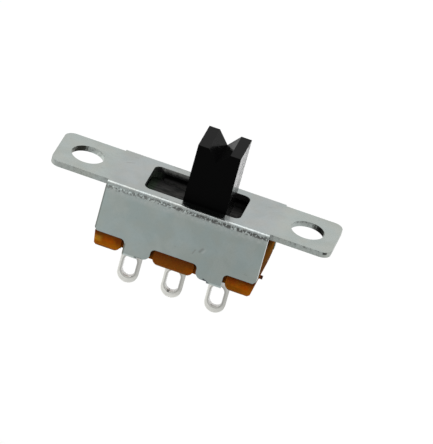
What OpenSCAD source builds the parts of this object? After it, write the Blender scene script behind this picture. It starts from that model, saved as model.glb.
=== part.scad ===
// Panel-mount slide switch, single pole, two positions, with solder lugs.
// Millimetres. The origin is the centre of the mounting plate's top face.
// +X runs along the ears and the travel, +Z out along the knob.
// The slider is drawn at the right-hand end of its travel.

/* [Mounting plate] */
// Overall length over both ears
plate_l = 19.0; // [18:0.5:24]
// Thickness of the sheet steel
sheet_t = 0.4; // [0.3:0.02:0.5]
// Corner radius of the ears
ear_r = 0.65; // [0.2:0.05:1.5]
// How far the edge of an ear is set in from the folded wall
ear_setback = 0.5; // [0.5:0.05:1]
// Distance between the two fixing holes
hole_spacing = 15.0; // [15:0.5:18]
// Diameter of the fixing holes
hole_d = 2.2; // [1.6:0.1:2.4]
// Corner radius of the slot for the knob
slot_r = 0.45; // [0.2:0.05:0.8]

/* [Folded walls] */
// Width over the outer faces of the two walls
body_w = 5.2; // [4.3:0.1:6.5]
// Inside radius of every fold in the sheet
bend_in_r = 0.05; // [0.02:0.01:0.1]
// Depth of the walls at the notches, from the plate's top face
notch_depth = 3.6; // [3:0.1:4.5]
// Radius in the inner corners of the notches
notch_r = 0.3; // [0.1:0.05:0.4]
// Size of the trimmed lower corners at the walls' ends
wall_trim = 0.2; // [0.1:0.05:0.4]
// Width of each tab between the notches
tab_w = 1.8; // [1.5:0.1:2.4]
// Radius on the inner lower corner of each tab
tab_r = 0.45; // [0.1:0.05:0.5]
// Width of the lip that is crimped under the base, at the outer side of each tab
lip_w = 1.0; // [0.6:0.1:1.3]
// Reach of the lip under the base, from the wall's outer face
lip_reach = 0.8; // [0.6:0.05:1]

/* [Base moulding] */
// Thickness of the base's floor and feet
floor_t = 0.95; // [0.8:0.05:1.4]
// Thickness of the end walls beside the slider's deck
end_wall = 0.35; // [0.25:0.05:0.6]
// Thickness of the side walls that the slider rides on
side_wall = 0.7; // [0.4:0.05:0.9]
// Length of the middle foot between the tabs
middle_foot_l = 2.75; // [2:0.05:3.4]
// Radius on the lower corners of the feet
foot_r = 0.28; // [0.1:0.02:0.4]
// How far the feet stand back from the walls' outer faces
foot_inset = 0.12; // [0:0.02:0.2]
// Radius on the outer corners of the end feet
end_r = 0.08; // [0.04:0.02:0.2]
// How far the base ends inside the ends of the frame's walls
base_inset = 0.05; // [0.05:0.05:0.3]
// How far the ends of the end feet lean in at the bottom
end_lean = 0.13; // [0:0.01:0.3]
// Depth of the pockets under the floor that take the crimped lips
lip_pocket = 0.1; // [0.05:0.05:0.25]
// Diameter of the moulding gate that is left on the right-hand end
gate_d = 0.26; // [0.2:0.02:0.5]
// How far the gate stands out from the end
gate_l = 0.09; // [0.05:0.01:0.2]

/* [Slider] */
// Full travel from one position to the other
travel = 1.7; // [1.4:0.1:2.2]
// Length of the knob along the travel
knob_l = 2.9; // [2:0.1:3.5]
// Width of the knob across the travel
knob_w = 2.9; // [2:0.1:3]
// Height of the knob above the plate
knob_h = 4.1; // [2:0.1:8]
// Width of the V groove across the knob's top
vee_w = 1.46; // [0.8:0.02:1.6]
// Depth of the V groove
vee_h = 0.9; // [0.4:0.05:1.2]
// How far the carriage reaches past the outer terminals' centres, both ends together
carriage_over = 1.4; // [1:0.1:2]
// Depth of the carriage's deck below the plate's top face
deck_depth = 1.1; // [0.8:0.05:1.3]
// Thickness of the carriage under the deck
deck_t = 0.9; // [0.6:0.05:1]
// Thickness of the deck's ends, which run out past the carriage to keep the slot closed
deck_end_t = 0.3; // [0.2:0.05:0.4]
// How far the deck reaches past the slot at the end of the travel
deck_over = 0.08; // [0.05:0.01:0.3]
// Width of the rails that slide under the plate
rail_w = 0.3; // [0.2:0.05:0.4]
// How far each end of a rail is set in from the end of the carriage
rail_inset = 0.3; // [0.3:0.05:0.6]
// Length of the block under the carriage that holds the contact clip
block_l = 5.8; // [4.8:0.1:6.4]
// Radius on the upright corners of the carriage, the block and the base's cavity
core_r = 0.25; // [0.1:0.05:0.4]

/* [Terminals] */
// Distance between neighbouring terminals
pitch = 3.0; // [2.5:0.1:3.6]
// Thickness of the terminal strip
strip_t = 0.4; // [0.3:0.05:0.5]
// Width of a solder lug
lug_w = 1.4; // [1.1:0.05:1.8]
// Length of a solder lug below the base
lug_l = 3.43; // [2.5:0.01:5]
// Width of the wire eye
eye_w = 0.86; // [0.5:0.02:1]
// Length of the wire eye
eye_l = 1.75; // [1:0.05:2.2]
// Metal left between the eye and the lug's tip
eye_margin = 0.48; // [0.2:0.02:0.8]
// Height of the contact blade above the base's floor
blade_h = 1.3; // [0.9:0.05:1.4]
// Bevel on the upper corners of the blade
blade_bevel = 0.2; // [0.1:0.05:0.3]

/* [Contact clip] */
// Thickness of the spring strip
clip_t = 0.15; // [0.1:0.01:0.2]
// Inside radius of the folds in the spring strip
clip_r = 0.1; // [0.05:0.01:0.2]
// Length of the bridge past the outer side of each finger
bridge_over = 0.25; // [0.1:0.05:0.4]
// Depth of the bridge's sides, from the end of the fold
bridge_side = 0.2; // [0.1:0.05:0.25]
// Width of each contact finger
finger_w = 0.6; // [0.4:0.05:0.8]
// Length of the straight part at the root of a finger
finger_root_l = 0.3; // [0.25:0.05:0.4]
// Slope of the fingers towards the blades, in degrees
finger_angle = 20; // [12:1:26]
// Length of the sloping part of a finger
finger_slope_l = 0.55; // [0.4:0.05:0.6]
// Length of the flared finger end
flare_l = 0.12; // [0.08:0.02:0.2]
// Slope of the flared finger ends, in degrees
flare_angle = 28; // [15:1:40]

/* [Clearances] */
// Gap between the knob and each side of the slot
slot_side_gap = 0.18; // [0.1:0.02:0.3]
// Gap between the knob and the end of the slot at the end of the travel
slot_end_gap = 0.97; // [0.2:0.01:1.2]
// Gap between parts that slide on each other
slide_gap = 0.05; // [0.03:0.01:0.1]
// Gap between the carriage and the walls beside it
guide_gap = 0.1; // [0.05:0.01:0.15]
// Gap between parts that are pressed or folded together
fit_gap = 0.02; // [0.01:0.01:0.04]
// Gap between the feet and the sides of their notches
notch_gap = 0.2; // [0.05:0.01:0.25]

/* [Hidden] */
$fn = 48;

// How far solids that are joined run into each other, and how far cutters run past a face
join = 0.1;
past = 1;

// A fold's outer radius
bend_out_r = bend_in_r + sheet_t;
channel_w = body_w - 2 * sheet_t;
ear_w = body_w - 2 * ear_setback;

// The slider and the cavity that it runs in
slider_x = travel / 2;
carriage_l = 2 * pitch + carriage_over;
carriage_w = channel_w - 2 * guide_gap;
carriage_bottom = deck_depth + deck_t;
cavity_l = carriage_l + travel + 2 * slide_gap;
slot_l = knob_l + travel + 2 * slot_end_gap;
slot_w = knob_w + 2 * slot_side_gap;

// The deck closes the slot in both positions, and its run sets the length of the base
deck_l = max(carriage_l, slot_l + travel + 2 * deck_over);
deck_run = deck_l + travel + 2 * slide_gap;

// The base: its outside fills the channel, its inside clears the block
base_l = deck_run + 2 * end_wall;
base_w = channel_w - 2 * fit_gap;
base_bottom = notch_depth + floor_t;
cavity_w = base_w - 2 * side_wall;
wall_l = base_l + 2 * base_inset;
block_w = cavity_w - 2 * guide_gap;
block_bottom = notch_depth - 3 * slide_gap;

// The notches and tabs of the frame
tab_inner = middle_foot_l / 2 + notch_gap;
tab_outer = tab_inner + tab_w;
tab_bottom = base_bottom;
lip_bottom = base_bottom - lip_pocket + fit_gap + sheet_t;

// The blades cover the fingers in both positions and leave a gap to break the circuit
blade_w = pitch - travel + finger_w + 2 * slide_gap;
blade_top = notch_depth - blade_h;

// The clip: the fingers' inner faces meet the blades' sides at their innermost point
clip_l = pitch + finger_w + 2 * bridge_over;
clip_top = carriage_bottom;
finger_bow = (2 * clip_r + clip_t) * (1 - cos(finger_angle)) + finger_slope_l * sin(finger_angle);
clip_half = strip_t / 2 + fit_gap + finger_bow - clip_r;
clip_w = 2 * (clip_half + clip_r + clip_t);

// Turns a flat outline into a bar that runs along X, with the outline's axes along Y and Z
module along_x(length) {
    translate([-length / 2, 0, 0])
        rotate([90, 0, 90])
            linear_extrude(length)
                children();
}

// Turns a front view into a plate that is centred on Y, with the view's axes along X and Z
module along_y(length) {
    rotate([90, 0, 0])
        linear_extrude(length, center = true)
            children();
}

// A rectangle with rounded corners
module rounded_rect(length, width, r) {
    square([length - 2 * r, width], center = true);
    square([length, width - 2 * r], center = true);
    for (x = [-1, 1], y = [-1, 1])
        translate([x * (length / 2 - r), y * (width / 2 - r)])
            circle(r);
}

// What an arc of radius r leaves of a square corner at the origin, with a little past its sides.
// The corner points along (sx, sy); taken away it rounds an outer corner, added it fills an inner one.
module corner_piece(r, sx, sy) {
    margin = 0.02;
    mirror([sx < 0 ? 1 : 0, 0])
        mirror([0, sy < 0 ? 1 : 0])
            difference() {
                translate([-r, -r])
                    square(r + margin);
                translate([-r, -r])
                    circle(r);
            }
}

// The part of a ring that a fold of the given angle sweeps, about the fold's centre
module bend_sector(r_in, r_out, from, sweep) {
    far = 2 * r_out;
    intersection() {
        difference() {
            circle(r_out);
            circle(r_in);
        }
        polygon([
            [0, 0],
            far * [cos(from), sin(from)],
            far * [cos(from + sweep / 2), sin(from + sweep / 2)],
            far * [cos(from + sweep), sin(from + sweep)]
        ]);
    }
}

// The edge view of a strip of sheet, folded leg by leg. Each leg is [length, turn after it];
// the strip starts along +X with its lower face on the X axis, and a positive turn folds it left.
module folded_strip(t, r_in, legs, i = 0) {
    length = legs[i][0];
    turn = legs[i][1];
    // A left fold turns about a point above the strip, a right fold about a point below it
    centre = turn > 0 ? t + r_in : -r_in;
    square([length, t]);
    if (turn != 0)
        translate([length, centre]) {
            bend_sector(r_in, r_in + t, turn > 0 ? -90 : 90, turn);
            rotate(turn)
                translate([0, -centre])
                    if (i + 1 < len(legs))
                        folded_strip(t, r_in, legs, i + 1);
        }
}

// Both halves of a section that is the same on either side of its centre line
module both_halves() {
    children();
    mirror([1, 0])
        children();
}

// The frame's section: flat top and two walls, down to a depth below the top face
module channel_section(depth) {
    both_halves()
        translate([0, -sheet_t])
            folded_strip(sheet_t, bend_in_r, [
                [body_w / 2 - bend_out_r, -90],
                [depth - bend_out_r, 0]
            ]);
}

// The same section where the tabs end in lips that are folded in under the base
module lipped_section() {
    both_halves()
        translate([0, -sheet_t])
            folded_strip(sheet_t, bend_in_r, [
                [body_w / 2 - bend_out_r, -90],
                [lip_bottom - 2 * bend_out_r, -90],
                [lip_reach - bend_out_r, 0]
            ]);
}

// Front view of a wall: a plain sheet with two tabs that have filleted roots
module wall_outline() {
    difference() {
        union() {
            translate([-wall_l / 2, -notch_depth])
                square([wall_l, notch_depth + past]);
            both_halves()
                tab_outline();
        }
        // Trimmed lower corners at the ends of the wall
        for (side = [-1, 1])
            translate([side * wall_l / 2, -notch_depth])
                rotate(45)
                    square(wall_trim * sqrt(2), center = true);
    }
}

// Front view of the right-hand tab, without its lip
module tab_outline() {
    difference() {
        translate([tab_inner, -tab_bottom])
            square([tab_w, tab_bottom - notch_depth + join]);
        translate([tab_inner, -tab_bottom])
            corner_piece(tab_r, -1, -1);
    }
    // Fillets between the tab and the notches on either side
    translate([tab_inner, -notch_depth])
        corner_piece(notch_r, 1, 1);
    translate([tab_outer, -notch_depth])
        corner_piece(notch_r, -1, 1);
}

// One folded sheet: two ears, a slotted top, two walls with notches, tabs and crimped lips
module frame() {
    color([0.67, 0.69, 0.68])
        difference() {
            union() {
                // The ears, which run a little into the flat top
                translate([0, 0, -sheet_t])
                    linear_extrude(sheet_t)
                        difference() {
                            rounded_rect(plate_l, ear_w, ear_r);
                            square([wall_l - 2 * join, 2 * ear_w], center = true);
                        }
                // The channel, trimmed to the outline of the walls
                intersection() {
                    along_x(wall_l)
                        channel_section(tab_bottom);
                    along_y(body_w + 2 * past)
                        wall_outline();
                }
                // The lips at the outer side of each tab
                for (side = [-1, 1])
                    translate([side * (tab_outer - lip_w / 2), 0, 0])
                        along_x(lip_w)
                            lipped_section();
            }
            // The slot for the knob and the two fixing holes
            translate([0, 0, -sheet_t - past])
                linear_extrude(sheet_t + 2 * past)
                    rounded_rect(slot_l, slot_w, slot_r);
            for (side = [-1, 1])
                translate([side * hole_spacing / 2, 0, -sheet_t - past])
                    cylinder(h = sheet_t + 2 * past, d = hole_d);
        }
}

// Front view of a foot from x0 to x1. Radii: lower left, lower right, upper right, upper left
module foot_outline(x0, x1, radii) {
    low = -base_bottom;
    high = -notch_depth - fit_gap;
    // Each corner with the way it points along X and Z
    corners = [[x0, low, -1, -1], [x1, low, 1, -1], [x1, high, 1, 1], [x0, high, -1, 1]];
    difference() {
        translate([x0, low])
            square([x1 - x0, high - low]);
        for (i = [0:3])
            translate([corners[i][0], corners[i][1]])
                corner_piece(radii[i], corners[i][2], corners[i][3]);
    }
}

// The moulded base: a trough with high ends, and feet that fill the frame's notches
module base() {
    top_gap = sheet_t + fit_gap;
    color([0.62, 0.33, 0.08]) {
        // The gate on the right-hand end, just above the underside
        translate([base_l / 2 - end_wall, 0, -base_bottom + gate_d / 2 + fit_gap])
            rotate([0, 90, 0])
                cylinder(h = end_wall + gate_l, d = gate_d);
        difference() {
            union() {
                // The trough between the frame's walls
                translate([-base_l / 2, -base_w / 2, -base_bottom])
                    cube([base_l, base_w, base_bottom - carriage_bottom - slide_gap]);
                // The end walls, up to the underside of the plate
                for (side = [-1, 1])
                    translate([side * (base_l + cavity_l) / 4, 0, -(notch_depth + top_gap) / 2])
                        cube([
                            (base_l - cavity_l) / 2,
                            base_w - 2 * bend_in_r,
                            notch_depth - top_gap
                        ], center = true);
                // The middle foot and the two end feet, which reach out through the notches
                along_y(body_w - 2 * foot_inset) {
                    foot_outline(-middle_foot_l / 2, middle_foot_l / 2, [foot_r, foot_r, notch_r, notch_r]);
                    foot_outline(tab_outer + notch_gap, base_l / 2, [foot_r, end_r, end_r, notch_r]);
                    foot_outline(-base_l / 2, -tab_outer - notch_gap, [end_r, foot_r, notch_r, end_r]);
                }
            }
            // The lean of the end feet
            along_y(body_w)
                both_halves()
                    polygon([
                        [base_l / 2, -notch_depth],
                        [base_l / 2 - end_lean, -base_bottom],
                        [base_l / 2 - end_lean, -base_bottom - past],
                        [base_l / 2 + past, -notch_depth]
                    ]);
            // The step in the end walls that the ends of the deck run over
            translate([-deck_run / 2, -body_w / 2, -deck_depth - deck_end_t - slide_gap])
                cube([deck_run, body_w, deck_depth]);
            // The cavity that the clip and the block run in
            translate([0, 0, -notch_depth])
                linear_extrude(notch_depth)
                    rounded_rect(cavity_l, cavity_w, core_r);
            // A slit for each terminal
            for (i = [-1:1])
                translate([i * pitch, 0, -base_bottom])
                    cube([lug_w + 2 * fit_gap, strip_t + 2 * fit_gap, 3 * floor_t], center = true);
            // The pockets for the crimped lips, one at each tab
            for (x = [-1, 1], y = [-1, 1])
                translate([x * (tab_outer - lip_w / 2), y * body_w / 2, -base_bottom])
                    cube([lip_w + 2 * notch_gap, 2 * (lip_reach + fit_gap), 2 * lip_pocket], center = true);
        }
    }
}

// Front view of a terminal: a lug with an oblong eye, and a wider blade that stands on the floor
module terminal_outline() {
    tip = base_bottom + lug_l;
    difference() {
        union() {
            translate([-lug_w / 2, -tip + lug_w / 2])
                square([lug_w, tip - lug_w / 2 - notch_depth + join]);
            translate([0, -tip + lug_w / 2])
                circle(lug_w / 2);
            polygon([
                [-blade_w / 2, -notch_depth],
                [blade_w / 2, -notch_depth],
                [blade_w / 2, -blade_top - blade_bevel],
                [blade_w / 2 - blade_bevel, -blade_top],
                [-blade_w / 2 + blade_bevel, -blade_top],
                [-blade_w / 2, -blade_top - blade_bevel]
            ]);
        }
        translate([0, -tip + eye_margin + eye_l / 2])
            rotate(90)
                oblong(eye_l, eye_w);
    }
}

// A slot with round ends
module oblong(length, width) {
    square([length - width, width], center = true);
    for (side = [-1, 1])
        translate([side * (length - width) / 2, 0])
            circle(width / 2);
}

// The terminal at the given place, -1 for the left, 0 for the centre, 1 for the right
module terminal(place) {
    color([0.80, 0.80, 0.77])
        translate([place * pitch, 0, 0])
            along_y(strip_t)
                terminal_outline();
}

// Front view of the knob, with a V groove across its top
module knob_outline() {
    polygon([
        [-knob_l / 2, -deck_depth - deck_t / 2],
        [knob_l / 2, -deck_depth - deck_t / 2],
        [knob_l / 2, knob_h],
        [vee_w / 2, knob_h],
        [0, knob_h - vee_h],
        [-vee_w / 2, knob_h],
        [-knob_l / 2, knob_h]
    ]);
}

// The slider: knob, carriage with two rails under the plate, and a block with the clip's pocket
module slider() {
    rail_h = deck_depth - sheet_t - slide_gap;
    blade_slot_w = strip_t + 4 * guide_gap;
    pocket_w = clip_w + 2 * slide_gap;
    color([0.06, 0.06, 0.06])
        translate([slider_x, 0, 0])
            difference() {
                union() {
                    along_y(knob_w)
                        knob_outline();
                    // The carriage
                    translate([0, 0, -carriage_bottom])
                        linear_extrude(deck_t)
                            rounded_rect(carriage_l, carriage_w, core_r);
                    // The deck
                    translate([0, 0, -deck_depth - deck_end_t])
                        linear_extrude(deck_end_t)
                            rounded_rect(deck_l, carriage_w, core_r);
                    // The rails
                    for (side = [-1, 1])
                        translate([0, side * (carriage_w - rail_w) / 2, rail_h / 2 - deck_depth])
                            cube([carriage_l - 2 * rail_inset, rail_w, rail_h], center = true);
                    // The block between the base's side walls
                    translate([0, 0, -block_bottom])
                        linear_extrude(block_bottom - carriage_bottom + deck_t / 2)
                            rounded_rect(block_l, block_w, core_r);
                }
                // The slot that passes over the blades
                translate([0, 0, -block_bottom])
                    cube([
                        block_l + 2 * past,
                        blade_slot_w,
                        2 * (block_bottom - blade_top + guide_gap)
                    ], center = true);
                // The pocket for the contact clip
                translate([0, 0, -block_bottom])
                    cube([
                        clip_l + 2 * slide_gap,
                        pocket_w,
                        2 * (block_bottom - clip_top + fit_gap)
                    ], center = true);
            }
}

// The edge view of the clip, with legs that go down to the given stage
module clip_section(legs) {
    both_halves()
        translate([0, -clip_top - clip_t])
            folded_strip(clip_t, clip_r, concat([[clip_half, -90]], legs));
}

// One folded spring strip: a bridge over the blades and two pairs of fingers that pinch them
module contact_clip() {
    bridge = [[bridge_side, 0]];
    finger = [
        [finger_root_l, -finger_angle],
        [finger_slope_l, finger_angle + flare_angle],
        [flare_l, 0]
    ];
    color([0.80, 0.58, 0.30])
        translate([slider_x, 0, 0]) {
            along_x(clip_l)
                clip_section(bridge);
            for (side = [-1, 1])
                translate([side * pitch / 2, 0, 0])
                    along_x(finger_w)
                        clip_section(finger);
        }
}

frame();
base();
terminal(-1);  // terminal_left
terminal(0);  // terminal_centre
terminal(1);  // terminal_right
slider();
contact_clip();
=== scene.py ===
"""Looks of a panel-mount slide switch: materials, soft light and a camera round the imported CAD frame."""

import bpy
import math
from mathutils import Matrix, Vector


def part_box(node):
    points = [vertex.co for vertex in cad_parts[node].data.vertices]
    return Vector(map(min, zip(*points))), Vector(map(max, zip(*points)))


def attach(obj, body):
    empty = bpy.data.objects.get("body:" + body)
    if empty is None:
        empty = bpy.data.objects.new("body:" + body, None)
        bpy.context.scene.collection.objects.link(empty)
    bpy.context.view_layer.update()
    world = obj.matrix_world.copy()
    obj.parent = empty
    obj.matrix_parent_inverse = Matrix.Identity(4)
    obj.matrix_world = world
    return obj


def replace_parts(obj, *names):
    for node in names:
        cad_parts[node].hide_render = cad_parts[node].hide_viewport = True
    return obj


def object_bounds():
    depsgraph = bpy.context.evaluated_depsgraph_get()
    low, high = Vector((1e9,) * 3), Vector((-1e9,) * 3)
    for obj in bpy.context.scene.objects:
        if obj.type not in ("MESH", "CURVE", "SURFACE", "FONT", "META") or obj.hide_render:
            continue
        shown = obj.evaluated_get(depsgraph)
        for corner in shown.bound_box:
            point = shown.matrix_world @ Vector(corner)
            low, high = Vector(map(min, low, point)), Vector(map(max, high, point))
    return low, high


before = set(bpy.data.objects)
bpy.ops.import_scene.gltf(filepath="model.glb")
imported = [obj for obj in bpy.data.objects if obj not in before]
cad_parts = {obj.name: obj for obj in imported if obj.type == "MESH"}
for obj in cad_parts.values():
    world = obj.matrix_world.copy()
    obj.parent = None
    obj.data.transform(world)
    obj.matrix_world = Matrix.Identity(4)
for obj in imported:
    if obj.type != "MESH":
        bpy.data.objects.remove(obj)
cad_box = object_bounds()
MM = 0.001
LOWEST, HIGHEST = cad_box

# The sizes below are in millimetres. X runs along the travel, Y from the front to the back, and Z up
# from the plate's top side.

# The folded frame
SHEET = 0.4                            # thickness of the sheet
WALL_OUT = HIGHEST.y / MM              # outer side of the folded walls, from the middle
EAR_HALF = WALL_OUT - 0.5              # half the width of the ears
FOLD_START = WALL_OUT - SHEET - 0.05   # where the plate's top side starts to bend
WALL_LEFT = -5.5                       # left end of the walls
TAB_LEFT = -3.38                       # left side of the left tab
SLOT_X, SLOT_Y = 4.0, 1.75             # the slot lies within these, each way from the middle
HOLES_X, HOLES_Y = 6.2, 1.5            # the holes lie past HOLES_X and within HOLES_Y

# The base's feet, which are longer and rounder than the CAD solid's
BASE_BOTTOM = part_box("base")[0].z / MM
FOOT_R = 0.28                          # radius of the solid's lower corners, which come down
FOOT_DROP = 0.12                       # how far they come down
FOOT_ROUNDING = 0.10                   # how far those beside the notches draw in, to be rounder
FOOT_LEAN = 0.14                       # slope at which the outer ends lean in
FOOT_SIDE = 2.3                        # the feet's outer sides lie past this, across the base
FOOT_END = 5.3                         # the outer feet's ends lie past this, along the base
END_EDGE_DROP = 0.1                    # end edges this far below the solid take a larger bevel

# The solder lugs, whose eyes end a little lower than the CAD solids'
PLACES = ("left", "centre", "right")
PITCH = 3.0
LUG_W = 1.4
EYE_W = 0.86
EYE_L = 1.75
EYE_MARGIN = 0.48
EYE_Z = LOWEST.z / MM + EYE_MARGIN + EYE_L / 2
EYE_TOP_DROP = 0.20
EYE_REACH = EYE_L / 2 + 0.05           # the solid's eye lies within this of EYE_Z
SHOWN_EYE_Z = EYE_Z - EYE_TOP_DROP / 2
SHOWN_EYE_L = EYE_L - EYE_TOP_DROP


# ---------------------------------------------------------------- node helpers

class Tree:
    """A material's or the world's node tree, with short calls for the nodes used here."""

    def __init__(self, owner):
        owner.use_nodes = True
        self.tree = owner.node_tree
        self.tree.nodes.clear()

    def node(self, kind, inputs=None, **settings):
        n = self.tree.nodes.new("ShaderNode" + kind)
        for key, value in settings.items():
            setattr(n, key, value)
        for key, value in (inputs or {}).items():
            self.put(n.inputs[key], value)
        return n

    def put(self, socket, value):
        """Links value to the socket if it is another node's output, and sets it there if not."""
        if isinstance(value, bpy.types.NodeSocket):
            self.tree.links.new(value, socket)
        else:
            socket.default_value = value

    def surface(self, shader):
        self.node("OutputMaterial", {"Surface": shader})

    # Values

    def math(self, operation, a, b=0.0, c=0.0):
        n = self.node("Math", operation=operation)
        for socket, value in zip(n.inputs, (a, b, c)):
            self.put(socket, value)
        return n.outputs[0]

    def add(self, *values):
        total = values[0]
        for value in values[1:]:
            total = self.math("ADD", total, value)
        return total

    def share(self, value, amount):
        return value if amount == 1 else self.math("MULTIPLY", value, amount)

    def absolute(self, value):
        return self.math("ABSOLUTE", value)

    def spread(self, value, start, end, to_start, to_end, smooth=True):
        """Maps value from start..end to to_start..to_end, and holds it there outside."""
        n = self.node("MapRange", {"Value": value, "From Min": start, "From Max": end,
                                   "To Min": to_start, "To Max": to_end},
                      interpolation_type="SMOOTHSTEP" if smooth else "LINEAR")
        return n.outputs[0]

    # Places

    def place(self, scale=(1, 1, 1)):
        """The object's own coordinates in millimetres, stretched by scale."""
        coordinate = self.node("TexCoord").outputs["Object"]
        n = self.node("VectorMath", {0: coordinate}, operation="MULTIPLY")
        n.inputs[1].default_value = [s / MM for s in scale]
        return n.outputs[0]

    def parts(self, vector):
        return self.node("SeparateXYZ", {0: vector}).outputs

    def noise(self, place, scale, detail=3.0, roughness=0.5, distortion=0.0):
        inputs = {"Vector": place, "Scale": scale, "Detail": detail, "Roughness": roughness,
                  "Distortion": distortion}
        return self.node("TexNoise", inputs).outputs["Fac"]

    def sway(self, noise, amount):
        """Noise turned into a shift to either side."""
        return self.share(self.math("SUBTRACT", noise, 0.5), amount)

    # Masks, from 0 to 1

    def above(self, value, start, full):
        """0 where value is below start, rising to 1 at full."""
        return self.spread(value, start, full, 0, 1)

    def below(self, value, full, end):
        """1 where value is below full, falling to 0 at end."""
        return self.spread(value, full, end, 1, 0)

    def near(self, value, centre, half, soft):
        """1 where value is within half of centre, falling to 0 over soft beyond it."""
        return self.below(self.absolute(self.math("SUBTRACT", value, centre)), half, half + soft)

    def both(self, *masks):
        """1 only where all masks are 1: their product."""
        product = masks[0]
        for mask in masks[1:]:
            product = self.math("MULTIPLY", product, mask)
        return product

    def inverse(self, mask):
        return self.math("SUBTRACT", 1.0, mask)

    def stroke(self, u, v, start, end, width):
        """A mark drawn from start to end in the plane of u and v, soft at its edges."""
        run = Vector(end) - Vector(start)
        length = run.length
        run.normalize()
        du = self.math("SUBTRACT", u, start[0])
        dv = self.math("SUBTRACT", v, start[1])
        along = self.add(self.share(du, run.x), self.share(dv, run.y))
        across = self.math("SUBTRACT", self.share(dv, run.x), self.share(du, run.y))
        return self.both(self.near(along, length / 2, length * 0.35, length * 0.2),
                         self.near(across, 0.0, width * 0.25, width * 0.4))

    def seen_rays(self):
        """1 for the rays that show the background: the camera's, and those off gloss or through glass."""
        path = self.node("LightPath").outputs
        seen = self.math("MAXIMUM", path["Is Camera Ray"], path["Is Glossy Ray"])
        return self.math("MAXIMUM", seen, path["Is Transmission Ray"])

    # Colours

    def mix(self, factor, a, b, how="MIX"):
        n = self.node("Mix", data_type="RGBA", blend_type=how, clamp_factor=True)
        self.put(n.inputs["Factor"], factor)
        self.put([s for s in n.inputs if s.name == "A"][2], a)
        self.put([s for s in n.inputs if s.name == "B"][2], b)
        return [s for s in n.outputs if s.name == "Result"][2]

    def rgb(self, red, green, blue):
        return self.node("CombineColor", {0: red, 1: green, 2: blue}).outputs[0]


class Finish(Tree):
    """A material painted in layers: colour and rough are set first, and the rest is laid over them."""

    def __init__(self, name):
        self.material = bpy.data.materials.new(name)
        super().__init__(self.material)
        self.at = self.place()
        self.x, self.y, self.z = self.parts(self.at)
        self.normal = self.parts(self.node("NewGeometry").outputs["True Normal"])

    def cover(self, mask, colour, amount=1):
        """Lays colour over the paint where mask is 1, as densely as amount says."""
        self.colour = self.mix(self.share(mask, amount), self.colour, colour)

    def tint(self, mask, tone, amount=1):
        """Multiplies the paint by tone where mask is 1, as much as amount says."""
        self.colour = self.mix(self.share(mask, amount), self.colour, tone, "MULTIPLY")

    def dull(self, mask, amount):
        """Adds amount to the roughness where mask is 1."""
        self.rough = self.add(self.rough, self.share(mask, amount))

    def finish(self, height, strength, distance, inputs):
        """Ends the tree in a shader with a bump from height, distance deep, and these other inputs."""
        bump = self.node("Bump", {"Height": height, "Strength": strength, "Distance": distance * MM})
        shader = self.node("BsdfPrincipled", {"Base Color": self.colour, "Roughness": self.rough,
                                              "Normal": bump.outputs[0], **inputs})
        self.surface(shader.outputs[0])
        return self.material


def grey(value, red=1.0, blue=1.0):
    """A near-grey colour, with its red and blue as shares of its green."""
    return (value * red, value, value * blue, 1)


# ---------------------------------------------------------------- pieces that stand for CAD nodes

def reshaped(node, name, move):
    """Stands for a CAD node: a copy of its mesh, with each corner where move puts it, in millimetres."""
    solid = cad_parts[node]
    mesh = solid.data.copy()
    for vertex in mesh.vertices:
        vertex.co = Vector(move(*(vertex.co / MM))) * MM
    mesh.update()
    piece = bpy.data.objects.new(name, mesh)
    bpy.context.scene.collection.objects.link(piece)
    piece.matrix_world = solid.matrix_world.copy()
    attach(piece, "housing")
    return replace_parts(piece, node)


def longer_feet(x, y, z):
    """Brings the feet's lower corners down, and draws them in on the foot."""
    share = min(max((BASE_BOTTOM + FOOT_R - z) / FOOT_R, 0), 1)
    if share == 0 or abs(y) < FOOT_SIDE:
        return x, y, z
    if abs(x) > FOOT_END:
        shift = -FOOT_LEAN * FOOT_DROP
    else:
        shift = FOOT_ROUNDING * share ** 2 * (1 if abs(x) > PITCH else -1)
    return x + math.copysign(shift, shift * x), y, z - FOOT_DROP * share


def shorter_eye(x, y, z):
    """Brings the round top of a lug's eye down, so that it shows below the frame."""
    at_top = EYE_Z < z < EYE_Z + EYE_REACH
    return x, y, z - EYE_TOP_DROP if at_top else z


def weigh_end_edges(mesh):
    """Marks the lowest edges at both ends of the base, which a larger bevel rounds."""
    weights = mesh.attributes.new("bevel_weight_edge", "FLOAT", "EDGE")
    for edge in mesh.edges:
        ends = [mesh.vertices[i].co / MM for i in edge.vertices]
        if all(abs(e.x) > FOOT_END and e.z < BASE_BOTTOM - END_EDGE_DROP for e in ends):
            weights.data[edge.index].value = 1


# ---------------------------------------------------------------- materials

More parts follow.
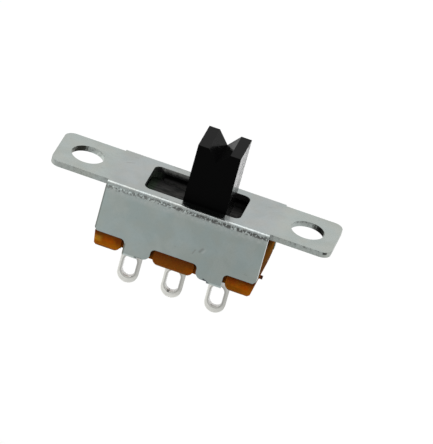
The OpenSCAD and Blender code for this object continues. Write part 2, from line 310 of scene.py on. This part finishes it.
class PlatedSteel(Finish):
    """The frame's dull bright plating, with the marks of folding, shearing and handling, and painted light
    and shade in its slot, holes, inner faces and edges.
    """

    # On the front wall: a mark's two ends as (x, z), its width, its colour and how dense it is. The last two
    # are painted shadows in the gaps along the tabs' lower edges.
    FRONT_MARKS_AND_SHADOWS = (((1.42, -2.70), (1.66, -2.30), 0.16, grey(0.20, 0.98, 0.95), 0.45),
                   ((1.62, -2.72), (1.84, -2.34), 0.12, grey(0.52, 0.95, 0.97), 0.40),
                   ((1.02, -2.96), (1.18, -2.56), 0.10, grey(0.24, 0.98, 0.95), 0.45),
                   ((-2.58, -4.62), (-2.02, -4.60), 0.20, grey(0.12, 0.85, 0.95), 0.85),
                   ((2.10, -4.44), (2.58, -4.68), 0.15, (0.045, 0.047, 0.062, 1), 0.85))

    def __init__(self):
        super().__init__("plated_steel")
        self.along = self.absolute(self.x)
        self.side = self.absolute(self.y)
        self.upright = self.below(self.absolute(self.normal[2]), 0.15, 0.5)
        self.wall = self.above(self.side, WALL_OUT - 0.2, WALL_OUT - 0.1)
        self.grain = self.noise(self.at, 9.0, 4.0, 0.6)
        self.lines = self.noise(self.place((0.15, 6.0, 6.0)), 2.0, 3.0, 0.6)
        self.chips = self.noise(self.place((5.0, 3.0, 6.0)), 1.0, 3.0, 0.7)

        self.sheet()
        scuff = self.fold_line()
        torn = self.sheared_edges()
        slot = self.slot_walls()
        self.hole_walls()
        self.wall_ends()
        inner = self.inner_shade_and_streaks()
        self.marks()
        height = self.add(self.share(self.grain, 0.5), self.share(self.lines, 0.3),
                          self.share(scuff, -1.2), self.share(torn, -0.8))
        metal = self.inverse(self.math("MAXIMUM", inner, self.share(slot, 0.7)))
        self.finish(height, 0.5, 0.012, {"Metallic": metal})

    def sheet(self):
        """Soft patches, fine grain, a few nicks, and long faint rolling lines in the gloss."""
        patches = self.noise(self.at, 0.55, 3.0, 0.55, 0.6)
        self.colour = self.mix(self.above(patches, 0.35, 0.65),
                               grey(0.390, 0.93, 0.97), grey(0.425, 0.94, 0.98))
        self.cover(self.above(self.grain, 0.3, 0.7), grey(0.375, 0.92, 0.96), 0.35)
        nicks = self.noise(self.place((1.4, 2.0, 5.0)), 1.3, 2.0, 0.5)
        self.tint(self.above(nicks, 0.70, 0.76), grey(0.85), 0.8)
        self.rough = self.add(0.15, self.share(self.grain, 0.07), self.share(self.lines, 0.04))
        # Cloudy tints, and ears a little brighter than the plate's middle
        clouds = self.above(self.noise(self.at, 0.8, 2.0, 0.5), 0.35, 0.65)
        self.tint(1.0, self.mix(clouds, (1.015, 0.99, 0.98, 1), (0.985, 1.0, 1.02, 1)))
        self.tint(self.above(self.along, 4.8, 6.2), (1.05, 1.065, 1.03, 1))
        # The walls are a little greener than the plate, and brighter towards the left end
        self.tint(self.wall, grey(1.0, 0.93, 0.985))
        tone = self.spread(self.x, -5.0, 4.0, 1.14, 0.98, smooth=False)
        self.tint(self.wall, self.rgb(tone, tone, tone))

    def fold_line(self):
        """The speckled line that the folding tool leaves on each wall. Returns where it is."""
        speckle = self.noise(self.place((6.5, 4.0, 6.0)), 1.0, 2.0, 0.6, 0.8)
        clumps = self.noise(self.place((2.0, 1.0, 2.0)), 1.0, 2.0, 0.5)
        speckle = self.add(speckle, self.sway(clumps, 0.25))
        wander = self.sway(self.noise(self.place((2.0, 0, 0)), 1.0), 0.12)
        depth = self.spread(self.x, -5.5, -2.0, 0.29, 0.21)
        line = self.below(self.absolute(self.add(self.z, depth, wander)), 0.06, 0.17)
        worn = self.spread(self.x, -4.0, 2.5, 0.02, -0.01)
        scuff = self.both(line, self.wall, self.above(self.math("SUBTRACT", speckle, worn), 0.44, 0.52))
        # It is darker towards the right, and fainter on the back wall
        amount = self.both(scuff, self.spread(self.x, -2.5, 1.5, 0.82, 1.0),
                           self.spread(self.y, 0, 1, 1, 0.5))
        tone = self.mix(self.above(self.x, -2.5, 1.5), grey(0.085, 1.02, 0.95), grey(0.055, 1.0, 0.95))
        self.cover(amount, tone)
        self.dull(scuff, 0.35)
        # A rubbed band under it, and specks on the fold above it
        rubbed = self.both(self.wall, self.near(self.z, -0.42, 0.06, 0.34),
                           self.spread(speckle, 0.35, 0.6, 1.0, 0.3))
        self.cover(rubbed, grey(0.54, 0.95, 0.97), 0.5)
        crest = self.both(self.above(self.side, FOLD_START, FOLD_START + 0.1), self.above(self.z, -0.2, -0.1),
                          self.above(speckle, 0.48, 0.62))
        self.tint(crest, grey(0.66), 0.55)
        # A second, fainter line where the fold starts, over the middle
        second = self.both(self.near(self.side, FOLD_START + 0.02, 0.02, 0.06),
                           self.near(self.x, -0.9, 0.9, 0.6),
                           self.above(speckle, 0.42, 0.54), self.above(self.z, -0.12, -0.06))
        self.cover(second, grey(0.14, 1.0, 0.95), 0.45)
        return scuff

    def sheared_edges(self):
        """The plate's cut edges, with dark flecks on the right ear. Returns how torn they are."""
        cut = self.both(self.upright, self.below(self.side, EAR_HALF + 0.04, EAR_HALF + 0.1))
        torn = self.noise(self.place((3.0, 3.0, 2.0)), 1.6, 4.0, 0.7)
        self.tint(cut, grey(1.10))
        self.tint(self.both(cut, self.above(torn, 0.42, 0.66)), grey(0.60), 0.35)
        self.tint(self.both(cut, self.above(self.chips, 0.54, 0.62)), grey(0.55), 0.5)
        flecks = self.both(cut, self.near(self.z, -0.07, 0.03, 0.05), self.above(torn, 0.50, 0.60),
                           self.above(self.x, 4.0, 6.0))
        self.cover(flecks, grey(0.10, 1.0, 0.95), 0.6)
        self.dull(cut, 0.22)
        return self.both(cut, torn)

    def slot_walls(self):
        """The slot's walls: painted dark as shade in the slot, but for a stretch at the back that is painted
        lit high up. Returns where they are.
        """
        slot = self.both(self.upright, self.below(self.side, SLOT_Y, SLOT_Y + 0.05),
                         self.near(self.x, 0.0, SLOT_X, 0.1))
        bright = self.both(self.near(self.x, -1.7, 0.9, 0.5), self.above(self.y, 1.4, 1.5))
        ragged = self.sway(self.noise(self.place((3.0, 1.0, 2.5)), 1.5, 3.0, 0.7), 0.35)
        level = self.add(self.z, ragged, self.share(self.inverse(bright), -0.4))
        # Painted shade darkens the walls with depth, and painted light keeps the stretch at the back bright
        # high up
        dark = self.below(level, -0.36, -0.02)
        self.cover(slot, self.mix(dark, grey(0.34, 0.98, 0.95), grey(0.012)))
        # The left end wall is painted a dim, streaky brownish grey, standing in for the shade at the slot's
        # left end
        end_wall = self.both(slot, self.above(self.normal[0], 0.3, 0.8))
        brown = self.mix(self.above(self.chips, 0.40, 0.60), grey(0.050, 0.85, 0.85), grey(0.130, 0.90, 0.88))
        self.cover(end_wall, brown, 0.9)
        self.dull(slot, 0.35)
        return slot

    def hole_walls(self):
        """The holes' walls: painted dark shade where they face the middle, and a painted highlight on the
        left hole's opposite side.
        """
        bored = self.both(self.above(self.along, HOLES_X, HOLES_X + 0.1), self.upright,
                          self.below(self.side, HOLES_Y, HOLES_Y + 0.05))
        inwards = self.share(self.both(self.normal[0], self.math("SIGN", self.x)), -1.0)
        inwards = self.add(inwards, self.sway(self.chips, 0.9))
        # Painted light on the left hole's wall that faces away from the middle
        lit = self.both(bored, self.below(inwards, -0.5, -0.1), self.below(self.x, -1, 1))
        self.tint(lit, grey(1.35))
        # Painted shade where the walls face the middle, though the part that faces it squarely is not dark
        dark = self.both(bored, self.above(inwards, 0.0, 0.5), self.spread(inwards, 0.80, 0.98, 1, 0.10))
        tone = self.mix(self.above(self.x, -1, 1), grey(0.075, 1.0, 0.85), grey(0.018, 1.0, 0.85))
        self.cover(dark, tone, 0.97)
        self.dull(dark, 0.5)

    def wall_ends(self):
        """Cut edges of the walls: painted dark lines on the left end and the left tab's side, standing in for
        dark reflections on their rounded edges, and warm high up and darker low down where they face right.
        """
        # Painted reflections: dark lines on the walls' left ends and on the left tab's side
        leftward = self.both(self.wall, self.below(self.x, WALL_LEFT + 0.05, WALL_LEFT + 0.11))
        self.cover(leftward, grey(0.13, 1.0, 0.85), 0.55)
        tab_side = self.both(self.wall, self.near(self.x, TAB_LEFT + 0.03, 0.04, 0.05),
                             self.below(self.z, -3.9, -3.8))
        self.cover(tab_side, grey(0.12, 1.0, 0.70), 0.7)
        rightward = self.both(self.wall, self.above(self.normal[0], 0.5, 0.8))
        tone = self.mix(self.below(self.z, -2.9, -2.6), (0.95, 0.78, 0.70, 1), (0.45, 0.48, 0.42, 1))
        self.tint(rightward, tone)

    def inner_shade_and_streaks(self):
        """The walls' inner faces: lighter, greenish and streaked near their ends, and painted near-black
        shade between. Returns where they are.
        """
        inner = self.both(self.near(self.side, WALL_OUT - SHEET, 0.02, 0.03), self.below(self.z, -0.5, -0.45))
        streaks = self.above(self.noise(self.place((5.0, 1.0, 0.8)), 1.6, 3.0, 0.6), 0.35, 0.65)
        streaked_ends = self.mix(streaks, grey(0.20, 0.72, 0.75), grey(0.42, 0.78, 0.75))
        # Painted shade: near black between the ends
        self.cover(inner, self.mix(self.above(self.along, 2.6, 3.4), grey(0.01), streaked_ends))
        self.dull(inner, 0.3)
        return inner

    def marks(self):
        """Scuffs on the front wall, painted shadows along its tabs' lower edges, a scratch on the plate and a
        nick in the right ear.
        """
        front = self.below(self.y, -WALL_OUT + 0.05, -WALL_OUT + 0.1)
        for start, end, width, tone, amount in self.FRONT_MARKS_AND_SHADOWS:
            self.cover(self.both(front, self.stroke(self.x, self.z, start, end, width)), tone, amount)
        scratch = self.stroke(self.x, self.y, (-5.08, 0.66), (-4.50, 0.98), 0.10)
        self.cover(self.both(self.above(self.z, -0.05, -0.02), scratch), grey(0.30, 0.98, 0.95), 0.5)
        nick = self.both(self.near(self.x, 9.2, 0.10, 0.12), self.near(self.y, -2.06, 0.1, 0.06),
                         self.near(self.z, -0.11, 0.05, 0.05))
        self.cover(nick, grey(0.02), 0.9)


# Painted light and shade on the feet, brighter and darker places for the light through the plastic: x, z,
# reach along x, and tone
FOOT_LIGHT_AND_SHADE = ((-4.45, -4.05, 0.50, (1.25, 0.95, 0.4, 1)), (-5.25, -4.15, 0.42, (1.45, 2.2, 4.5, 1)),
              (1.20, -4.30, 0.45, (1.30, 1.10, 0.5, 1)), (3.95, -3.95, 0.40, (1.05, 0.76, 0.8, 1)),
              (4.20, -4.50, 0.70, (0.62, 0.66, 0.7, 1)), (4.85, -4.10, 0.35, (1.20, 0.90, 0.3, 1)))


def end_tones(t, blotch):
    """The base's end faces: a painted shadow of the ear, dark high up and reaching lower towards the back,
    orange in the middle and duller low down.
    """
    level = t.add(t.z, t.share(t.y, 0.15), t.sway(blotch, 1.0))
    # Painted shadow of the ear: dark high up, reaching lower towards the back
    tone = t.mix(t.above(level, -2.5, -1.0), (0.27, 0.095, 0.012, 1), (0.040, 0.014, 0.005, 1))
    tone = t.mix(t.share(t.below(level, -3.7, -2.7), 0.85), tone, (0.165, 0.080, 0.042, 1))
    above_foot = t.above(t.z, -4.0, -3.85)
    t.cover(above_foot, tone)
    t.dull(above_foot, 0.4)


def amber_plastic(name, ior, glow, end_face=False):
    """The base's moulding. glow is how much light enters it, and end_face adds the end faces' tones."""
    t = Finish(name)
    cloud = t.noise(t.at, 1.1, 3.0, 0.55)
    blotch = t.noise(t.place((0.7, 1.0, 1.6)), 1.0, 3.0, 0.6, 0.5)
    grain = t.noise(t.at, 12.0, 3.0, 0.6)
    along = t.absolute(t.x)
    # Painted light and shade: the lower edges are painted brighter than the body above them, most of all near
    # the ends, for light through the thin plastic and shade under the frame
    lit_low_edges = t.below(t.add(t.z, t.share(cloud, 0.5)), -4.35, -3.2)
    bright = t.mix(t.above(along, 1.2, 4.6), (0.24, 0.068, 0.005, 1), (0.45, 0.130, 0.003, 1))
    t.colour = t.mix(lit_low_edges, (0.095, 0.020, 0.003, 1), bright)
    t.cover(t.above(cloud, 0.4, 0.7), (0.20, 0.075, 0.004, 1), 0.4)
    t.cover(t.both(t.above(blotch, 0.52, 0.66), t.above(t.z, -4.4, -4.0)), (0.16, 0.018, 0.002, 1), 0.55)
    # A painted highlight: the feet's lowest edges and downward faces are paler
    lit_rim = t.math("MAXIMUM", t.below(t.normal[2], -0.75, -0.3), t.spread(t.z, -4.64, -4.54, 1.6, 0))
    t.cover(lit_rim, (0.20, 0.110, 0.042, 1), 0.45)
    for x, z, reach, tone in FOOT_LIGHT_AND_SHADE:
        t.tint(t.both(t.near(t.x, x, reach * 0.4, reach * 0.8), t.near(t.z, z, 0.10, 0.20)), tone)
    t.rough = t.add(0.45, t.share(grain, 0.15))
    if end_face:
        end_tones(t, blotch)
    gate = t.both(t.above(along, 5.38, 5.42), t.near(t.y, 0.0, 0.16, 0.04), t.below(t.z, -4.2, -4.1))
    t.cover(gate, (0.075, 0.050, 0.045, 1), 0.9)
    # The moulding is darker where the frame and the slider shade it
    inside = t.both(t.below(t.absolute(t.y), 2.15, 2.17), t.above(t.z, -3.65, -3.55),
                    t.below(along, 4.7, 5.2))
    t.cover(inside, (0.012, 0.008, 0.004, 1), 0.85)
    return t.finish(t.add(grain, cloud), 0.25, 0.01, {
        "IOR": ior, "Subsurface Weight": glow, "Subsurface Scale": 0.6 * MM,
        "Subsurface Radius": (1.0, 0.35, 0.08)})


def silver_plate():
    """The lugs' bright plating, with cut faces polished by the punch, and painted light and shade across each
    lug.
    """
    t = Finish("terminal_plating")
    patches = t.noise(t.at, 0.9, 3.0, 0.6)
    grain = t.noise(t.at, 8.0, 4.0, 0.6)
    # Place on each lug: across it from its middle, and outwards from the rim of its eye
    across = t.math("WRAP", t.x, PITCH / 2, -PITCH / 2)
    up = t.absolute(t.math("SUBTRACT", t.z, SHOWN_EYE_Z))
    up = t.math("MAXIMUM", t.math("SUBTRACT", up, (SHOWN_EYE_L - EYE_W) / 2), 0.0)
    out = t.math("SQRT", t.add(t.math("POWER", across, 2.0), t.math("POWER", up, 2.0)))
    out = t.math("SUBTRACT", out, EYE_W / 2)
    rim_w = (LUG_W - EYE_W) / 2
    flat = t.absolute(t.normal[1])

    # Painted light and shade across each lug: bright at the left arm and darker at the right one
    level = t.spread(t.add(across, t.share(patches, 0.3)), -0.55, 0.85, 0.93, 0.56, smooth=False)
    # The first two lugs' lower ends are the brightest, and the right arms carry a painted shadow next to the
    # frame's tabs
    low_end = t.both(t.below(t.z, EYE_Z - 0.9, EYE_Z - 0.5), t.spread(t.x, 1.0, 2.0, 1, 0.3))
    level = t.math("MINIMUM", t.add(level, t.share(low_end, 0.10)), 0.98)
    arm_shadow = t.both(t.above(t.z, EYE_Z + 0.3, EYE_Z + 1.1), t.above(across, 0.1, 0.3))
    level = t.both(level, t.inverse(t.share(arm_shadow, 0.35)))
    t.colour = t.rgb(level, level, t.share(level, 0.94))
    t.cover(t.above(grain, 0.35, 0.75), grey(0.58, 1.0, 0.93), 0.3)
    # A painted highlight on the outer rim, and a shallow groove round the eye, painted darker as shade
    rim_highlight = t.both(t.above(flat, 0.3, 0.8), t.above(out, rim_w - 0.10, rim_w - 0.02))
    t.cover(rim_highlight, grey(0.80, 1.0, 0.95), 0.5)
    groove_and_shade = t.both(t.near(out, 0.080, 0.020, 0.050), t.above(flat, 0.2, 0.5))
    t.cover(groove_and_shade, grey(0.33, 1.0, 0.95), 0.6)
    # The cut faces inside the eye are polished, and painted brightest at its lower end, as painted light
    # where they face up
    cut = t.both(t.below(flat, 0.3, 0.6), t.below(out, 0.03, 0.06))
    lower = t.below(t.z, EYE_Z - 0.6, EYE_Z - 0.4)
    t.cover(cut, t.mix(lower, grey(0.62, 1.0, 1.0), grey(0.84, 1.0, 0.98)), 0.9)
    # The outer cut faces that face right are painted darker, as shade on the lugs' right sides
    t.tint(t.both(t.above(t.normal[0], 0.2, 0.6), t.above(out, rim_w - 0.10, rim_w - 0.04)), grey(0.66))
    # Dark specks round the eyes, and one on the centre lug's tip
    specks = t.above(t.noise(t.place((2.0, 2.0, 2.0)), 2.2, 2.0, 0.6), 0.66, 0.72)
    t.cover(t.both(specks, t.near(out, 0.05, 0.04, 0.08)), grey(0.12, 1.0, 0.95), 0.7)
    speck = t.both(t.near(t.x, -0.13, 0.04, 0.06), t.near(t.z, EYE_Z - 0.92, 0.03, 0.06))
    t.cover(speck, grey(0.08, 1.0, 0.95), 0.85)
    t.rough = t.add(0.26, t.share(grain, 0.14), t.share(cut, -0.08))
    metal = t.inverse(t.share(t.both(cut, lower), 0.6))
    return t.finish(t.math("SUBTRACT", grain, groove_and_shade), 0.4, 0.01, {"Metallic": metal})


def black_plastic(name, gloss, even, rubbed, tone=0.001, bump=0.15, bump_depth=0.006):
    """The slider's moulding: gloss is its specular level, even and rubbed are its two roughnesses."""
    t = Finish(name)
    cloud = t.noise(t.at, 1.4, 3.0, 0.55)
    grain = t.noise(t.at, 14.0, 3.0, 0.6)
    wear = t.noise(t.place((1.0, 2.5, 2.0)), 1.5, 4.0, 0.75)
    wear = t.both(t.above(wear, 0.42, 0.60), t.spread(t.y, -1.0, 0.6, 0.2, 1.0))
    # The deck in the slot is duller than the knob, with faint drag marks along the travel
    deck = t.below(t.z, -1.0, -0.7)
    drag = t.above(t.noise(t.place((0.8, 4.0, 1.0)), 1.3, 3.0, 0.6), 0.45, 0.62)
    deck_tone = t.mix(drag, grey(0.086, 1.02, 0.97), grey(0.040, 0.95, 0.97))
    # A painted reflection: the deck's left end is tinted green for the steel that it mirrors
    deck_tone = t.mix(t.below(t.x, -3.0, -2.7), deck_tone, (0.82, 1.15, 0.82, 1), "MULTIPLY")
    t.colour = t.mix(deck, grey(tone), deck_tone)
    t.rough = t.spread(t.add(t.share(wear, 0.6), t.share(grain, 0.4)), 0.1, 0.9, even, rubbed)
    t.dull(deck, 0.3)
    return t.finish(t.add(grain, cloud), bump, bump_depth, {"IOR": 1.5, "Specular IOR Level": gloss})


def spring_bronze():
    """The contact clip's bare strip, with faint rolling lines."""
    t = Finish("contact_bronze")
    lines = t.noise(t.place((0.4, 8.0, 8.0)), 2.0, 3.0, 0.6)
    patches = t.noise(t.at, 1.2, 3.0, 0.6)
    t.colour = t.mix(t.above(patches, 0.35, 0.65), (0.50, 0.27, 0.10, 1), (0.60, 0.34, 0.13, 1))
    t.rough = t.add(0.24, t.share(lines, 0.15))
    return t.finish(lines, 0.3, 0.008, {"Metallic": 1.0})


# ---------------------------------------------------------------- edges and paint

pieces = dict(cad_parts, base=reshaped("base", "base_moulding", longer_feet))
for place in PLACES:
    node = "terminal_" + place
    pieces[node] = reshaped(node, "solder_lug_" + place, shorter_eye)
weigh_end_edges(pieces["base"].data)


WELD_GAP = 0.0005       # points nearer than this many millimetres become one
FLAT_ANGLE = 0.2        # faces that meet at less than this many degrees become one
SHARP_ANGLE = 35        # edges sharper than this many degrees are rounded


def add_bevel(piece, name, width, segments, limit):
    bevel = piece.modifiers.new(name, "BEVEL")
    bevel.width = width * MM
    bevel.segments = segments
    bevel.limit_method = limit
    return bevel


def soften(node, width, end_width=0):
    """Rounds a piece's sharp edges by a small width, and its weighted edges by end_width first."""
    piece = pieces[node]
    weld = piece.modifiers.new("weld", "WELD")
    weld.merge_threshold = WELD_GAP * MM
    flat = piece.modifiers.new("flat", "DECIMATE")
    flat.decimate_type = "DISSOLVE"
    flat.angle_limit = math.radians(FLAT_ANGLE)
    if end_width:
        add_bevel(piece, "end_corners", end_width, 3, "WEIGHT")
    add_bevel(piece, "edges", width, 2, "ANGLE").angle_limit = math.radians(SHARP_ANGLE)
    piece.modifiers.new("shading", "WEIGHTED_NORMAL")
    for face in piece.data.polygons:
        face.use_smooth = True


def paint(node, *materials, choose=lambda face: 0):
    """Gives a piece its materials; choose says which of them a face takes."""
    mesh = pieces[node].data
    mesh.materials.clear()
    for material in materials:
        mesh.materials.append(material)
    for face in mesh.polygons:
        face.material_index = choose(face)


def base_zone(face):
    """1 on the base's end faces and 0 elsewhere."""
    return int(abs(face.normal.x) > 0.7)


KNOB_BASE = 0.0
BODY, VEE, SIDE, FRONT = range(4)


def knob_zone(face):
    """The knob's vee is matt, its right side polished, and its front and back satin."""
    if abs(face.normal.y) > 0.9:
        return FRONT
    if face.center.z / MM < KNOB_BASE:
        return BODY
    if abs(face.normal.x) > 0.5 and face.normal.z > 0.3:
        return VEE
    return SIDE if face.normal.x > 0.7 else BODY


soften("frame", 0.08)
soften("base", 0.045, end_width=0.16)
soften("slider", 0.03)
soften("contact_clip", 0.015)
for place in PLACES:
    soften("terminal_" + place, 0.07)

paint("frame", PlatedSteel().material)
paint("base", amber_plastic("base_plastic", ior=1.10, glow=0.35),
      amber_plastic("base_plastic_matt", ior=1.02, glow=0.1, end_face=True), choose=base_zone)
# The vee's copy is painted a little less black than the body, painted light that lifts its shaded slope
paint("slider", black_plastic("black_plastic", 0.055, 0.07, 0.15),
      black_plastic("black_plastic_matt", 0.025, 0.15, 0.30, tone=0.0032),
      black_plastic("black_plastic_polished", 0.46, 0.02, 0.30, tone=0.004, bump=0.9, bump_depth=0.026),
      black_plastic("black_plastic_satin", 0.02, 0.30, 0.45, tone=0.0027), choose=knob_zone)
paint("contact_clip", spring_bronze())
silver = silver_plate()
for place in PLACES:
    paint("terminal_" + place, silver)


# ---------------------------------------------------------------- floor, world and lights

FLOOR_DROP = 14 * MM    # below the lugs' tips
FLOOR_R = 1.2
FLOOR_SIDES = 64
SKY_LEVEL = 0.6


def pale_floor():
    """Pale paper, which the camera and polished metal see whiter behind the part than in front of it."""
    paper = bpy.data.materials.new("floor")
    t = Tree(paper)
    y = t.parts(t.place())[1]
    glow = t.math("MULTIPLY", t.seen_rays(), t.spread(y, -22, -3, 0.185, 0.5))
    lit = t.node("BsdfDiffuse", {"Color": grey(0.7)}).outputs[0]
    light = t.node("Emission", {"Color": (1, 1, 1, 1), "Strength": glow}).outputs[0]
    t.surface(t.node("AddShader", {0: lit, 1: light}).outputs[0])
    return paper


def add_floor():
    turns = [i * math.tau / FLOOR_SIDES for i in range(FLOOR_SIDES)]
    corners = [(FLOOR_R * math.cos(a), FLOOR_R * math.sin(a), LOWEST.z - FLOOR_DROP) for a in turns]
    mesh = bpy.data.meshes.new("floor")
    mesh.from_pydata(corners, [], [list(range(FLOOR_SIDES))])
    mesh.materials.append(pale_floor())
    floor = bpy.data.objects.new("floor", mesh)
    bpy.context.scene.collection.objects.link(floor)


def add_world():
    """An even sky, whose backdrop is white behind the part and a pale grey in front of it."""
    world = bpy.data.worlds.new("studio")
    bpy.context.scene.world = world
    t = Tree(world)
    y = t.parts(t.node("TexCoord").outputs["Generated"])[1]
    backdrop = t.spread(y, -0.5, 0.3, 0.72, 1.0)
    strength = t.math("MULTIPLY_ADD", t.seen_rays(), t.math("SUBTRACT", backdrop, SKY_LEVEL), SKY_LEVEL)
    sky = t.node("Background", {"Color": (1, 1, 1, 1), "Strength": strength})
    t.node("OutputWorld", {"Surface": sky.outputs[0]})


def add_softbox(name, place, width, height, power):
    """A soft lamp at place, in metres, that shines on the plate's middle."""
    light = bpy.data.lights.new(name, "AREA")
    light.shape = "RECTANGLE"
    light.size = width
    light.size_y = height
    light.energy = power
    lamp = bpy.data.objects.new(name, light)
    lamp.location = place
    lamp.rotation_euler = (-Vector(place)).to_track_quat("-Z", "Y").to_euler()
    bpy.context.scene.collection.objects.link(lamp)


add_floor()
add_world()
add_softbox("top", (0.0, 0.10, 0.25), width=0.16, height=0.14, power=0.10)
add_softbox("front", (-0.15, -0.25, 0.15), width=0.20, height=0.20, power=0.12)


# ---------------------------------------------------------------- camera

def add_camera(target, distance, azimuth, elevation, roll, lens):
    """Azimuth turns from the front towards +X, elevation is above the horizon, and roll tilts the view."""
    az, el = math.radians(azimuth), math.radians(elevation)
    away = Vector((math.sin(az) * math.cos(el), -math.cos(az) * math.cos(el), math.sin(el)))
    turn = (-away).to_track_quat("-Z", "Y").to_matrix().to_4x4() @ Matrix.Rotation(math.radians(roll), 4, "Z")
    camera = bpy.data.cameras.new("camera")
    camera.lens = lens
    camera.sensor_width = 36
    camera.clip_start = 0.01
    camera.clip_end = 10
    eye = bpy.data.objects.new("camera", camera)
    bpy.context.scene.collection.objects.link(eye)
    eye.matrix_world = Matrix.Translation(Vector(target) + away * distance) @ turn
    bpy.context.scene.camera = eye


add_camera(target=(1.685 * MM, 0, -1.616 * MM), distance=369.7 * MM,
           azimuth=6.85, elevation=29.24, roll=15.69, lens=466.4)
bpy.context.scene.view_settings.view_transform = "Standard"
